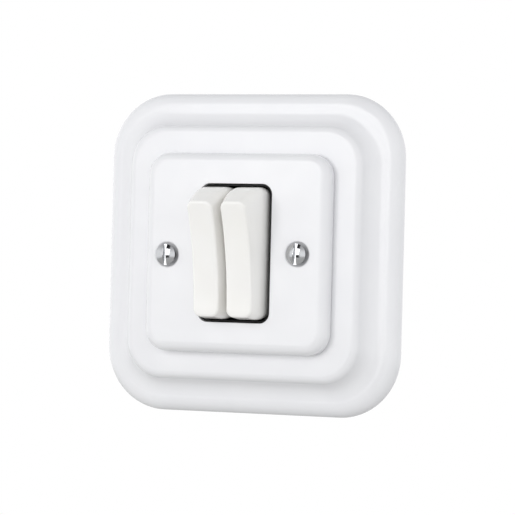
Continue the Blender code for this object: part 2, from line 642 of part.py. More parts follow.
def main():
    clear_scene()
    wall = bpy.data.objects.new("wall_plane", None)
    bpy.context.collection.objects.link(wall)
    wall.rotation_euler = (math.pi / 2, 0, 0)
    materials = {
        "porcelain": make_material("glazed_porcelain", (0.86, 0.86, 0.85), 0.12),
        "rocker": make_material("gloss_plastic", (0.84, 0.82, 0.78), 0.22),
        "black": make_material("black_thermoset", (0.02, 0.02, 0.02), 0.5),
        "nickel": make_material("nickel_plate", (0.72, 0.72, 0.72), 0.2, 1.0),
        "zinc": make_material("zinc_plate", (0.66, 0.68, 0.70), 0.35, 1.0),
        "steel": make_material("spring_steel", (0.55, 0.55, 0.56), 0.3, 1.0),
        "brass": make_material("brass", (0.78, 0.60, 0.30), 0.3, 1.0),
        "silver": make_material("contact_silver", (0.85, 0.84, 0.82), 0.3, 1.0),
    }
    make_outer_frame(materials["porcelain"])
    make_cover_plate(materials["porcelain"])
    make_cover_screws(materials["nickel"])
    make_pillars(materials["brass"])
    make_strap(materials["zinc"])
    make_bearing_housing(materials["black"])
    make_opening_trim(materials["black"])
    make_base_housing(materials["black"])
    make_common_rail(materials["brass"])
    make_terminals(materials)
    make_fasteners(materials)
    for side, name in ((-1, "left"), (1, "right")):
        make_rocker(name, materials["rocker"], side)
        make_rocker_gear(name, materials, side)
        make_contact_set(name, materials, side)


main()
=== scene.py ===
import json
import math

import bmesh
import bpy
from mathutils import Matrix, Vector


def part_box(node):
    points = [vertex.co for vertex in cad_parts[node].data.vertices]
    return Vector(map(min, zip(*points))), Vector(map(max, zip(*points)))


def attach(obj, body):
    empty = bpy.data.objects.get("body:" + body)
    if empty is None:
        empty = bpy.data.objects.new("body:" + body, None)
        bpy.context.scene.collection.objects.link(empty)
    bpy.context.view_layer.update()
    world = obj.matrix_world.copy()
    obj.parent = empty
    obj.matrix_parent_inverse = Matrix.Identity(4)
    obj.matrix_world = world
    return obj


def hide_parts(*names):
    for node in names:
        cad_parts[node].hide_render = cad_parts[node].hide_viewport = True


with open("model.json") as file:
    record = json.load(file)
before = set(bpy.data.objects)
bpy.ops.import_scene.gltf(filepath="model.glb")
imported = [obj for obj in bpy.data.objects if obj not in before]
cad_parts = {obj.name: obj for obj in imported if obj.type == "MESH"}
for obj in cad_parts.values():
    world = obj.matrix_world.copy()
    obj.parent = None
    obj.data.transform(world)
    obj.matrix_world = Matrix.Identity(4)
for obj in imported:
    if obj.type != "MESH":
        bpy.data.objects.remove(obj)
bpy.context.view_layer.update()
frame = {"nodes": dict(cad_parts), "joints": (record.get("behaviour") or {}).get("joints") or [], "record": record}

bl_info = {
    "name": "Porcelain Rocker Switch",
    "version": (1, 0, 0),
    "blender": (4, 5, 0),
    "location": "3D View > Sidebar > Switch",
    "description": "Builds a two-gang porcelain rocker switch round its measured frame",
    "category": "Add Mesh",
}

MM = 0.001
JOINTS = {joint["name"]: joint for joint in frame["joints"]}
SIDES = ("left", "right")
TERMINALS = ("common", "left", "right")
COVER_SCREW_TWISTS = (0, -3)  # degrees that the left and right cover screws' slots are turned
CAMERA_TARGET = Vector((0.09 * MM, 0, -1.13 * MM))

# Pieces are shaped lying face up, as (x, up, out), then stood against the wall.
STAND = Matrix.Rotation(math.pi / 2, 4, "X")
HELD_AWAY = 20 * MM           # how far a loop is held from its neighbour while they are joined
LEVEL = 0.99999               # a face whose normal is this close to the out axis is a true flat

FRAME_LOW, FRAME_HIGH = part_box("outer_frame")
PLATE_LOW, PLATE_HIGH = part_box("cover_plate")
STRAP_LOW, STRAP_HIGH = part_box("mounting_strap")
BASE_LOW, BASE_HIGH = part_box("base_housing")
TRAVEL = math.radians(JOINTS["rocker_hinge_right"]["range_deg"][1])


def middle(node):
    """Centre of a CAD node's box, as (x, up, out)."""
    low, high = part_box(node)
    centre = (low + high) / 2
    return Vector((centre.x, centre.z, -centre.y))


# ---------------------------------------------------------------- settings

def linear(code):
    """sRGB hex code to a linear colour."""
    parts = [int(code[i:i + 2], 16) / 255 for i in (1, 3, 5)]
    return tuple(c / 12.92 if c <= 0.04045 else ((c + 0.055) / 1.055) ** 2.4 for c in parts)


def length(name, description, value):
    """Setting that is a length."""
    return bpy.props.FloatProperty(name=name, description=description, default=value, min=0.0,
                                   unit="LENGTH", precision=5)


def angle(name, description, degrees):
    """Setting that is an angle, whose default is given in degrees."""
    return bpy.props.FloatProperty(name=name, description=description, default=math.radians(degrees),
                                   subtype="ANGLE")


def colour(name, description, code):
    """Setting that is a colour, whose default is given as a hex code."""
    return bpy.props.FloatVectorProperty(name=name, description=description, default=linear(code),
                                         size=3, min=0.0, max=1.0, subtype="COLOR")


def number(name, description, value):
    """Setting that is a plain number."""
    return bpy.props.FloatProperty(name=name, description=description, default=value, min=0.0)


class SwitchPorcelain(bpy.types.PropertyGroup):
    """Shape and glaze of the frame and the cover plate"""
    glaze: colour("Glaze", "Colour of the glazed body", "#F1F1F3")
    glaze_thick: colour("Thick glaze", "Colour where the glaze is thicker", "#EDEDF0")
    bisque: colour("Bisque", "Colour of the unglazed back", "#E9E4D9")
    lip_height: length("Lip height", "Height of the frame's round lip above the wall", 6.0 * MM)
    lip_radius: length("Lip radius", "Radius of the frame's lip", 4.3 * MM)
    cove_start: length("Cove start", "Half width at which the cove leaves the lip", 45.0 * MM)
    cove_radius: length("Cove radius", "Radius of the cove between lip and ledge", 5.7 * MM)
    cove_sweep: angle("Cove sweep", "Angle that the cove turns through", 75)
    ledge_half: length("Ledge half width", "Half width where the ledge's corner is measured", 37.0 * MM)
    ledge_corner: length("Ledge corner", "Corner radius of the ledge", 10.0 * MM)
    frame_corner: length("Frame corner", "Outer corner radius of the frame", 20.0 * MM)
    frame_opening: length("Frame opening", "Half width of the frame's opening", 28.0 * MM)
    plate_corner: length("Plate corner", "Corner radius of the cover plate", 7.0 * MM)
    plate_edge: length("Plate edge", "Rounding of the cover plate's edge", 3.0 * MM)
    opening_half_x: length("Opening half width", "Half width of the rocker opening", 12.2 * MM)
    opening_half_up: length("Opening half height", "Half height of the rocker opening", 21.45 * MM)
    opening_corner: length("Opening corner", "Corner radius of the rocker opening", 3.3 * MM)
    sink_radius: length("Countersink", "Radius of the screw countersinks", 3.8 * MM)


class SwitchRockers(bpy.types.PropertyGroup):
    """Shape and colour of the two rockers"""
    plastic: colour("Plastic", "Colour of the rocker moulding", "#FCFBF9")
    half_x: length("Half width", "Half width of a rocker at the plate", 5.4 * MM)
    end_radius: length("End radius", "Radius of the ends about the pivot", 20.4 * MM)
    face: length("Face height", "Height of the face's middle above the pivot", 9.1 * MM)
    dish_radius: length("Dish radius", "Radius of the hollow in the face", 85.0 * MM)
    top_x: length("Face half width", "Half width of the face before its edge is rounded", 4.3 * MM)
    top_up: length("Face half height", "Half height of the face before its edge is rounded", 18.1 * MM)
    corner: length("Corner", "Radius of the rocker's upright corners", 2.4 * MM)
    edge: length("Edge", "Rounding of the face's edge", 1.0 * MM)
    wall: length("Wall", "Thickness of the rocker's walls", 1.4 * MM)


class SwitchMetal(bpy.types.PropertyGroup):
    """Colours of the metal and moulded parts behind the plate"""
    nickel: colour("Nickel", "Polished nickel plate", "#C9CACC")
    zinc: colour("Zinc", "Bright zinc plate", "#BFC3C6")
    steel: colour("Steel", "Drawn spring steel", "#A8A9AB")
    brass: colour("Brass", "Pressed brass", "#D2AA5E")
    silver: colour("Silver", "Contact silver", "#DCD9D3")
    thermoset: colour("Thermoset", "Black thermoset moulding", "#0D0D0D")
    slot_width: length("Slot width", "Width of the cover screws' slots", 1.0 * MM)
    slot_depth: length("Slot depth", "Depth of the cover screws' slots", 1.0 * MM)


class SwitchStage(bpy.types.PropertyGroup):
    """Camera, floor and light"""
    yaw: angle("Yaw", "Camera's turn to the viewer's right", 24.39)
    pitch: angle("Pitch", "Camera's height as an angle", -0.11)
    roll: angle("Roll", "Camera's turn about its own axis", 1.46)
    distance: length("Distance", "Distance from the camera to its target", 0.955)
    lens: number("Lens", "Focal length on a 36 mm sensor, in millimetres", 212.9)
    floor_depth: length("Floor depth", "Distance from the switch's centre down to the floor", 0.2)
    floor_half: length("Floor half width", "Half width of the floor", 0.6)
    floor: colour("Floor", "Colour of the floor", "#DCDCDA")
    tent_strength: number("Tent strength", "Brightness of the white tent at eye level", 1.2)
    slit_bearing: angle("Slit bearing", "Direction of the dark slit, to the left of straight ahead", 12)
    slit_width: angle("Slit width", "Half width of the dark slit with its soft edge", 22)
    slit_level: number("Slit level", "Brightness left in the dark slit", 0.06)
    key_power: number("Key power", "Power of the front softbox, in watts", 9.6)


# ---------------------------------------------------------------- shaping

def arc(centre, radius, start, end, steps):
    """Points on an arc, with angles in degrees."""
    points = []
    for step in range(steps + 1):
        turn = math.radians(start + (end - start) * step / steps)
        points.append((centre[0] + radius * math.cos(turn), centre[1] + radius * math.sin(turn)))
    return points


def whole_loop(vert):
    """Every edge of the loose wire loop that a point is on."""
    found, queue = [], [vert]
    while queue:
        for edge in queue.pop().link_edges:
            if edge not in found:
                found.append(edge)
                queue.extend(edge.verts)
    return found


def rounded_loop(bm, half_x, half_up, radius, out, steps=14, centre=(0, 0)):
    """Wire loop: one point spun a quarter turn at each corner, and four straight sides."""
    ends = []
    for index, (sx, su) in enumerate(((1, -1), (1, 1), (-1, 1), (-1, -1))):
        hub = Vector((centre[0] + sx * (half_x - radius), centre[1] + su * (half_up - radius), out))
        turn = (index - 1) * math.pi / 2
        first = bm.verts.new(hub + radius * Vector((math.cos(turn), math.sin(turn), 0)))
        made = bmesh.ops.spin(bm, geom=[first], cent=hub, axis=(0, 0, 1), angle=math.pi / 2, steps=steps)
        last = next(item for item in made["geom_last"] if isinstance(item, bmesh.types.BMVert))
        ends.append((first, last))
    for index in range(4):
        bm.edges.new((ends[index][1], ends[(index + 1) % 4][0]))
    return whole_loop(ends[0][0])


def round_loop(bm, radius, out, centre=(0, 0), segments=48):
    """Wire loop: a circle at one height."""
    made = bmesh.ops.create_circle(bm, cap_ends=False, segments=segments, radius=radius,
                                   matrix=Matrix.Translation((centre[0], centre[1], out)))
    return whole_loop(made["verts"][0])


def bridge(bm, loops, closed=False):
    """Walls between each loop and the next. The second is held away while they are joined, because
    the operator twists the walls between two loops that share a plane and a centre."""
    pairs = list(zip(loops, loops[1:]))
    if closed:
        pairs.append((loops[-1], loops[0]))
    for first, second in pairs:
        rise = second[0].verts[0].co.z - first[0].verts[0].co.z
        away = Vector((0, 0, math.copysign(HELD_AWAY, rise)))
        points = list({vert for edge in second for vert in edge.verts})
        bmesh.ops.translate(bm, verts=points, vec=away)
        bmesh.ops.bridge_loops(bm, edges=list(first) + list(second))
        bmesh.ops.translate(bm, verts=points, vec=-away)


def fill(bm, loops):
    """Flat face bounded by an outer loop, with holes at the other loops."""
    edges = [edge for loop in loops for edge in loop]
    bmesh.ops.triangle_fill(bm, use_beauty=True, use_dissolve=False, edges=edges, normal=(0, 0, 1))


def turned(profile, steps=64):
    """Lathe work: a profile of (radius, out) points spun round the out axis."""
    bm = bmesh.new()
    verts = [bm.verts.new((radius, 0, out)) for radius, out in profile]
    edges = [bm.edges.new(pair) for pair in zip(verts, verts[1:])]
    bmesh.ops.spin(bm, geom=verts + edges, cent=(0, 0, 0), axis=(0, 0, 1), angle=2 * math.pi,
                   steps=steps, use_merge=True)
    bmesh.ops.remove_doubles(bm, verts=bm.verts[:], dist=0.0005 * MM)
    bmesh.ops.recalc_face_normals(bm, faces=bm.faces[:])
    return bm


def block(low, high, rounding=0.0):
    """Block between two corners, with its edges rounded."""
    bm = bmesh.new()
    size = Vector(high) - Vector(low)
    place = Matrix.Translation((Vector(low) + Vector(high)) / 2) @ Matrix.Diagonal((*size, 1.0))
    bmesh.ops.create_cube(bm, size=1.0, matrix=place)
    if rounding:
        bmesh.ops.bevel(bm, geom=bm.edges[:], offset=rounding, segments=3, profile=0.5,
                        affect="EDGES", material=-1)
    return bm


def loose_object(bm):
    """A shape as an object of its own, for a boolean."""
    mesh = bpy.data.meshes.new("tool")
    bm.to_mesh(mesh)
    bm.free()
    obj = bpy.data.objects.new("tool", mesh)
    bpy.context.collection.objects.link(obj)
    return obj


def carve(bm, tools):
    """The bmesh with each tool's shape cut out of it."""
    for tool in tools:
        work, cutter = loose_object(bm), loose_object(tool)
        cut = work.modifiers.new("cut", "BOOLEAN")
        cut.solver = "EXACT"
        cut.object = cutter
        bpy.context.view_layer.update()
        shaped = work.evaluated_get(bpy.context.evaluated_depsgraph_get())
        bm = bmesh.new()
        bm.from_mesh(shaped.to_mesh())
        shaped.to_mesh_clear()
        for obj in (work, cutter):
            mesh = obj.data
            bpy.data.objects.remove(obj)
            bpy.data.meshes.remove(mesh)
    return bm


def soften(bm, offset, least_degrees, wanted=lambda edge: True, segments=2):
    """Round the sharp edges that are wanted."""
    edges = [e for e in bm.edges if len(e.link_faces) == 2
             and e.calc_face_angle(0.0) > math.radians(least_degrees) and wanted(e)]
    bmesh.ops.bevel(bm, geom=edges, offset=offset, segments=segments, profile=0.5,
                    affect="EDGES", material=-1, clamp_overlap=True)
    return bm


def add_piece(name, bm, materials, body, replaced=(), place=STAND, sharp=32):
    """Stand a finished shape in its place, hang it under its body, and hide the measured parts that it replaces.
    """
    bmesh.ops.recalc_face_normals(bm, faces=bm.faces[:])
    bm.transform(place)
    mesh = bpy.data.meshes.new(name)
    bm.to_mesh(mesh)
    bm.free()
    mesh.set_sharp_from_angle(angle=math.radians(sharp))
    out = (place.to_3x3() @ Vector((0, 0, 1))).normalized()
    for polygon in mesh.polygons:
        polygon.use_smooth = abs(polygon.normal.dot(out)) < LEVEL
    for material in materials:
        mesh.materials.append(material)
    piece = bpy.data.objects.new(name, mesh)
    bpy.context.collection.objects.link(piece)
    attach(piece, body)
    if replaced:
        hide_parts(*replaced)
    return piece


# ---------------------------------------------------------------- finishes

def add_node(tree, kind, inputs=None, **settings):
    """One node with its settings, and its inputs filled in or linked."""
    made = tree.nodes.new(kind)
    for key, value in settings.items():
        setattr(made, key, value)
    for key, value in (inputs or {}).items():
        if isinstance(value, bpy.types.NodeSocket):
            tree.links.new(value, made.inputs[key])
        else:
            made.inputs[key].default_value = value
    return made


def per(size_mm):
    """Texture scale whose features are that many millimetres across."""
    return 1.0 / (size_mm * MM)


def start(name, **constants):
    """New material: its tree, its shader with constant values set, and object coordinates."""
    material = bpy.data.materials.new(name)
    material.use_nodes = True
    tree = material.node_tree
    shader = tree.nodes["Principled BSDF"]
    for key, value in constants.items():
        shader.inputs[key.replace("_", " ").title().replace("Ior", "IOR")].default_value = value
    where = add_node(tree, "ShaderNodeTexCoord").outputs["Object"]
    return material, tree, shader, where


def mottle(tree, shader, where, tones, size_mm, detail=3.0):
    """Soft variation of colour between two tones over patches of a real size."""
    cloud = add_node(tree, "ShaderNodeTexNoise",
                     {"Vector": where, "Scale": per(size_mm), "Detail": detail, "Roughness": 0.5})
    ramp = add_node(tree, "ShaderNodeValToRGB", {"Fac": cloud.outputs["Fac"]})
    ramp.color_ramp.elements[0].position = 0.2
    ramp.color_ramp.elements[0].color = (*tones[0], 1.0)
    ramp.color_ramp.elements[1].position = 0.8
    ramp.color_ramp.elements[1].color = (*tones[1], 1.0)
    tree.links.new(ramp.outputs["Color"], shader.inputs["Base Color"])


def vary_roughness(tree, shader, where, low, high, size_mm, stretch=(1, 1, 1)):
    """Roughness that wanders between two values over patches of a real size."""
    turned_to = add_node(tree, "ShaderNodeMapping", {"Vector": where, "Scale": stretch})
    cloud = add_node(tree, "ShaderNodeTexNoise",
                     {"Vector": turned_to.outputs["Vector"], "Scale": per(size_mm), "Detail": 4.0})
    spread = add_node(tree, "ShaderNodeMapRange",
                      {"Value": cloud.outputs["Fac"], "From Min": 0.3, "From Max": 0.7,
                       "To Min": low, "To Max": high})
    tree.links.new(spread.outputs["Result"], shader.inputs["Roughness"])


def relief(tree, shader, where, layers):
    """Bump built of noise layers, each (size in mm, depth in mm, stretch)."""
    normal = None
    for size_mm, depth_mm, stretch in layers:
        turned_to = add_node(tree, "ShaderNodeMapping", {"Vector": where, "Scale": stretch})
        grain = add_node(tree, "ShaderNodeTexNoise",
                         {"Vector": turned_to.outputs["Vector"], "Scale": per(size_mm), "Detail": 2.0})
        inputs = {"Height": grain.outputs["Fac"], "Strength": 1.0, "Distance": depth_mm * MM}
        if normal:
            inputs["Normal"] = normal
        normal = add_node(tree, "ShaderNodeBump", inputs).outputs["Normal"]
    tree.links.new(normal, shader.inputs["Normal"])


def glazed_porcelain(settings):
    """Hard-fired porcelain under clear glaze: bright, glassy, with the slow ripple of a dipped coat."""
    material, tree, shader, where = start("glazed_porcelain", ior=1.5, coat_weight=0.15, coat_roughness=0.08)
    mottle(tree, shader, where, (settings.glaze[:], settings.glaze_thick[:]), 16)
    vary_roughness(tree, shader, where, 0.14, 0.24, 6)
    # the coat's slow ripple is 9 mm long, and its orange peel is 1.4 mm across
    relief(tree, shader, where, ((9.0, 0.05, (1, 1, 1)), (1.4, 0.004, (1, 1, 1))))
    return material


def bisque_porcelain(settings):
    """Unglazed fired body on the back: chalky, a little warm, with the grain of its casting."""
    material, tree, shader, where = start("bisque_porcelain", ior=1.5)
    dark = tuple(0.9 * c for c in settings.bisque)
    mottle(tree, shader, where, (settings.bisque[:], dark), 5)
    vary_roughness(tree, shader, where, 0.7, 0.9, 2)
    relief(tree, shader, where, ((0.6, 0.03, (1, 1, 1)),))
    return material


def urea_moulding(settings):
    """Warm white urea-formaldehyde, compression moulded in a polished tool: glossy and dense."""
    material, tree, shader, where = start("urea_moulding", ior=1.5, coat_weight=0.1, coat_roughness=0.12)
    shade = tuple(c * f for c, f in zip(settings.plastic, (0.985, 0.98, 0.965)))
    mottle(tree, shader, where, (settings.plastic[:], shade), 11)
    vary_roughness(tree, shader, where, 0.16, 0.24, 4)
    # flow ripple 8 mm long, and the polished tool's faint unevenness at 1.5 mm
    relief(tree, shader, where, ((8.0, 0.02, (1, 0.6, 0.6)), (1.5, 0.001, (1, 1, 1))))
    return material


def plated(name, tone, low, high, patch_mm=3.0, scratch=(8, 1, 1), depth_mm=0.004):
    """Metal with a thin plate over it: full reflection, faint handling scratches, tone that drifts."""
    material, tree, shader, where = start(name, metallic=1.0)
    dull = tuple(0.86 * c for c in tone)
    mottle(tree, shader, where, (tone[:], dull), patch_mm)
    vary_roughness(tree, shader, where, low, high, 1.5)
    relief(tree, shader, where, ((0.35, depth_mm, scratch),))
    return material


def black_thermoset(settings):
    """Black phenolic, compression moulded: satin skin with a faint flow mottle."""
    material, tree, shader, where = start("black_thermoset", ior=1.5, specular_ior_level=0.3)
    pale = tuple(min(1.0, 1.5 * c + 0.004) for c in settings.thermoset)
    mottle(tree, shader, where, (settings.thermoset[:], pale), 3)
    vary_roughness(tree, shader, where, 0.34, 0.52, 2)
    relief(tree, shader, where, ((0.4, 0.012, (1, 1, 1)), (4.0, 0.03, (1, 1, 1))))
    return material


def finishes():
    """Every finish by name, made once and then reused."""
    scene = bpy.context.scene
    porcelain, rockers, metal = scene.switch_porcelain, scene.switch_rockers, scene.switch_metal
    makers = {
        "glazed_porcelain": lambda: glazed_porcelain(porcelain),
        "bisque_porcelain": lambda: bisque_porcelain(porcelain),
        "urea_moulding": lambda: urea_moulding(rockers),
        # polished nickel over brass: near mirror, faintly warm
        "nickel_plate": lambda: plated("nickel_plate", metal.nickel, 0.07, 0.14, 2.5, (9, 9, 1), 0.0012),
        # bright zinc over pressed steel: softer reflection, blue-grey drift
        "zinc_plate": lambda: plated("zinc_plate", metal.zinc, 0.29, 0.42, 4.0, (1, 6, 1), 0.005),
        "spring_steel": lambda: plated("spring_steel", metal.steel, 0.29, 0.4, 2.0, (1, 1, 6), 0.003),
        # unlacquered brass: warm, with darker handled patches
        "brass_strip": lambda: plated("brass_strip", metal.brass, 0.29, 0.4, 3.0, (1, 1, 8), 0.004),
        "contact_silver": lambda: plated("contact_silver", metal.silver, 0.29, 0.38, 1.0, (1, 1, 1), 0.003),
        "black_thermoset": lambda: black_thermoset(metal),
    }
    return {name: bpy.data.materials.get(name) or make() for name, make in makers.items()}


# ---------------------------------------------------------------- porcelain

def frame_profile(settings):
    """Half width and height of each turn of the frame's section, from the foot round to the foot."""
    half, ledge = FRAME_HIGH.x, -FRAME_LOW.y
    lip, cove = settings.lip_radius, settings.cove_radius
    sweep = math.degrees(settings.cove_sweep)
    points = [(half - 0.8 * MM, 0.0)]
    points += arc((half - 1.3 * MM, 0.9 * MM), 0.9 * MM, -60, -20, 3)
    points += arc((half - lip, settings.lip_height - lip), lip, 0, 90, 14)
    points += arc((settings.cove_start, settings.lip_height + cove), cove, -90, -90 - sweep, 16)
    end = points[-1]
    brow = (ledge - end[1]) / (1 - math.cos(settings.cove_sweep))
    brow_centre = (end[0] - brow * math.sin(settings.cove_sweep), ledge - brow)
    points += arc(brow_centre, brow, 90 - sweep, 90, 16)[1:]
    rim, under = 0.9 * MM, ledge - 4.6 * MM
    points += arc((settings.frame_opening + rim, ledge - rim), rim, 90, 180, 5)
    points += arc((settings.frame_opening + rim, under + rim), rim, 180, 270, 4)
    points += arc((brow_centre[0] - 2.6 * MM, under - 2.0 * MM), 2.0 * MM, 90, 35, 4)
    points += [(end[0], under - 3.2 * MM), (half - 6.5 * MM, 1.8 * MM), (half - 5.6 * MM, 0.5 * MM)]
    points += [(half - 5.0 * MM, 0.0)]
    return points


def frame_corner(settings, half):
    """Corner radius of the frame's outline at a half width."""
    slope = (settings.frame_corner - settings.ledge_corner) / (FRAME_HIGH.x - settings.ledge_half)
    return settings.ledge_corner + (half - settings.ledge_half) * slope


class SWITCH_OT_frame(bpy.types.Operator):
    """Porcelain frame: round lip, cove, ledge and hollow back"""
    bl_idname = "switch.frame"
    bl_label = "Build Frame"

    def execute(self, context):
        settings = context.scene.switch_porcelain
        looks = finishes()
        bm = bmesh.new()
        loops = [rounded_loop(bm, half, half, frame_corner(settings, half), out, 26)
                 for half, out in frame_profile(settings)]
        bridge(bm, loops, closed=True)
        bmesh.ops.recalc_face_normals(bm, faces=bm.faces[:])
        bare = -FRAME_LOW.y - 4.0 * MM
        for face in bm.faces:
            spot = face.calc_center_median()
            if face.normal.z < -0.2 and spot.z < bare:
                face.material_index = 1
        add_piece("porcelain_frame", bm, (looks["glazed_porcelain"], looks["bisque_porcelain"]),
                  "root", ["outer_frame"], sharp=60)
        return {"FINISHED"}


class SWITCH_OT_cover(bpy.types.Operator):
    """Cover plate: rounded edge, rocker opening, countersinks and locating spigot"""
    bl_idname = "switch.cover"
    bl_label = "Build Cover Plate"

    def execute(self, context):
        settings = context.scene.switch_porcelain
        looks = finishes()
        half, face = PLATE_HIGH.x, -PLATE_LOW.y
        spigot_end = -PLATE_HIGH.y
        back = -FRAME_LOW.y + 0.3 * MM
        straight = half - settings.plate_corner

        def square(bm, size, out):
            return rounded_loop(bm, size, size, size - straight, out, 20)

        bm = bmesh.new()
        outer = [square(bm, half - 0.5 * MM, back)]
        outer += [square(bm, size, out) for size, out in
                  arc((half - 0.5 * MM, back + 0.5 * MM), 0.5 * MM, -60, 0, 3)]
        edge = settings.plate_edge
        outer += [square(bm, size, out) for size, out in arc((half - edge, face - edge), edge, 0, 90, 18)]
        bridge(bm, outer)

        lip = 0.25 * MM
        opening = []
        for grow, drop in arc((lip, -lip), lip, 90, 180, 6):
            opening.append(rounded_loop(bm, settings.opening_half_x + grow, settings.opening_half_up + grow,
                                        settings.opening_corner + grow, face + drop, 12))
        opening.append(rounded_loop(bm, settings.opening_half_x, settings.opening_half_up,
                                    settings.opening_corner, back, 12))
        bridge(bm, opening)

        sink, hole = settings.sink_radius, 2.05 * MM
        soft = 0.4 * MM
        rows = [(sink + soft, face), (sink + 0.6 * soft, face - 0.03 * MM),
                (sink + 0.25 * soft, face - 0.12 * MM), (sink, face - 0.3 * MM),
                (hole + 0.1 * MM, face - (sink - hole)),
                (hole, face - (sink - hole) - 0.2 * MM), (hole, back)]
        holes = []
        for name in SIDES:
            centre = middle("cover_screw_" + name)
            holes.append([round_loop(bm, radius, out, centre) for radius, out in rows])
            bridge(bm, holes[-1])
        fill(bm, [outer[-1], opening[0], holes[0][0], holes[1][0]])

        spigot_out, spigot_in = settings.frame_opening - 0.3 * MM, settings.frame_opening - 2.8 * MM
        spigot = [square(bm, spigot_out, back), square(bm, spigot_out, spigot_end + 0.3 * MM),
                  square(bm, spigot_out - 0.3 * MM, spigot_end), square(bm, spigot_in + 0.3 * MM, spigot_end),
                  square(bm, spigot_in, spigot_end + 0.3 * MM), square(bm, spigot_in, back)]
        bridge(bm, [outer[0]] + spigot)
        fill(bm, [spigot[-1], opening[-1], holes[0][-1], holes[1][-1]])
        add_piece("porcelain_cover", bm, (looks["glazed_porcelain"],), "root",
                  ["cover_plate"], sharp=50)
        return {"FINISHED"}


# ---------------------------------------------------------------- rockers

def rocker_shell(settings):
    """Hollow rocker about its pivot: ends curved round the pivot, dished face, rounded edges."""
    def end(out):
        return math.sqrt(settings.end_radius ** 2 - out ** 2)

    skirt, roof = -7.5 * MM, 2.0 * MM
    draft = math.tan(math.radians(5))
    dished_above = settings.face - roof - 0.2 * MM
    inner_x, inner_up = settings.half_x - settings.wall, end(skirt) - settings.wall
    rows = [(inner_x - 0.4 * MM, settings.top_up - settings.wall, settings.face - roof, 1.0),
            (inner_x, inner_up, skirt + 0.2 * MM, 1.0),
            (inner_x + 0.2 * MM, inner_up + 0.2 * MM, skirt, 1.2),
            (settings.half_x - 0.2 * MM, end(skirt) - 0.2 * MM, skirt, 2.2)]
    levels = [skirt + 0.2 * MM + (6.0 * MM - skirt) * step / 7 for step in range(8)]
    for out in levels:
        rows.append((settings.half_x - max(out, 0.0) * draft, end(out), min(out, 6.0 * MM), 2.4))
    bm = bmesh.new()
    loops = [rounded_loop(bm, half_x, half_up, corner * MM, out, 8) for half_x, half_up, out, corner in rows]
    for turn in range(0, 91, 15):
        inset = settings.edge * (1 - math.cos(math.radians(turn)))
        drop = settings.edge * (1 - math.sin(math.radians(turn)))
        loops.append(rounded_loop(bm, settings.top_x - inset, settings.top_up - inset,
                                  settings.corner - 0.5 * inset, settings.face - drop, 8))
    for loop in (loops[0], loops[-1]):
        halves = [[e for e in loop if side * (e.verts[0].co.x + e.verts[1].co.x) > 0.1 * MM]
                  for side in (-1, 1)]
        bmesh.ops.bridge_loops(bm, edges=halves[0] + halves[1])
    bridge(bm, loops)
    long_edges = [e for e in bm.edges if e.calc_length() > 20 * MM]
    bmesh.ops.subdivide_edges(bm, edges=long_edges, cuts=39, use_grid_fill=True)
    dish = settings.dish_radius
    for vert in bm.verts:
        if vert.co.z > dished_above:
            vert.co.z += dish - math.sqrt(dish ** 2 - vert.co.y ** 2)
    return bm


def rocker_stem(settings):
    """Stem under the roof: eye for the pin, and a bore for spring and plunger."""
    stem = block((-2.0 * MM, -2.4 * MM, -16.6 * MM), (2.0 * MM, 2.4 * MM, settings.face - 1.9 * MM), 0.4 * MM)
    eye = turned([(0, -4 * MM), (1.0 * MM, -4 * MM), (1.0 * MM, 4 * MM), (0, 4 * MM)], 32)
    eye.transform(Matrix.Rotation(math.pi / 2, 4, "Y"))
    bore = turned([(0, -18 * MM), (1.15 * MM, -18 * MM), (1.15 * MM, -8.0 * MM), (0, -8.0 * MM)], 32)
    return carve(stem, [eye, bore])


class SWITCH_OT_rockers(bpy.types.Operator):
    """Two hollow rockers with their stems, tipped to their rest position"""
    bl_idname = "switch.rockers"
    bl_label = "Build Rockers"

    def execute(self, context):
        settings = context.scene.switch_rockers
        look = (finishes()["urea_moulding"],)
        for name in SIDES:
            pivot = Matrix.Translation(JOINTS["rocker_hinge_" + name]["pos_m"])
            place = pivot @ Matrix.Rotation(TRAVEL / 2, 4, "X") @ STAND
            body = "rocker_body_" + name
            add_piece("rocker_shell_" + name, rocker_shell(settings), look, body,
                      ["rocker_" + name], place, sharp=50)
            add_piece("rocker_stem_" + name, rocker_stem(settings), look, body,
                      (), place)
        return {"FINISHED"}


# ---------------------------------------------------------------- metalwork

def slotted(profile, slot_width, slot_depth, steps=64, softened=0.05 * MM):
    """Turned screw with a straight slot across its crown, whose edges are eased."""
    crown = profile[-1][1]
    reach = max(radius for radius, out in profile) + MM
    blade = block((-slot_width / 2, -reach, crown - slot_depth), (slot_width / 2, reach, crown + MM))
    bm = carve(turned(profile, steps), [blade])
    floor = crown - slot_depth

    def on_slot(edge):
        spot = (edge.verts[0].co + edge.verts[1].co) / 2
        return abs(abs(spot.x) - slot_width / 2) < 0.02 * MM and spot.z > floor + 0.02 * MM

    return soften(bm, softened, 20, on_slot)


def threaded(radius, low, high, pitch, depth):
    """Profile points of a thread, crest by crest, rising from low to high."""
    points = []
    count = int((high - low) / pitch)
    for index in range(count):
        base = low + index * pitch
        points += [(radius - depth, base), (radius - depth, base + 0.12 * pitch),
                   (radius, base + 0.45 * pitch), (radius, base + 0.6 * pitch)]
    points.append((radius - depth, low + count * pitch))
    return points


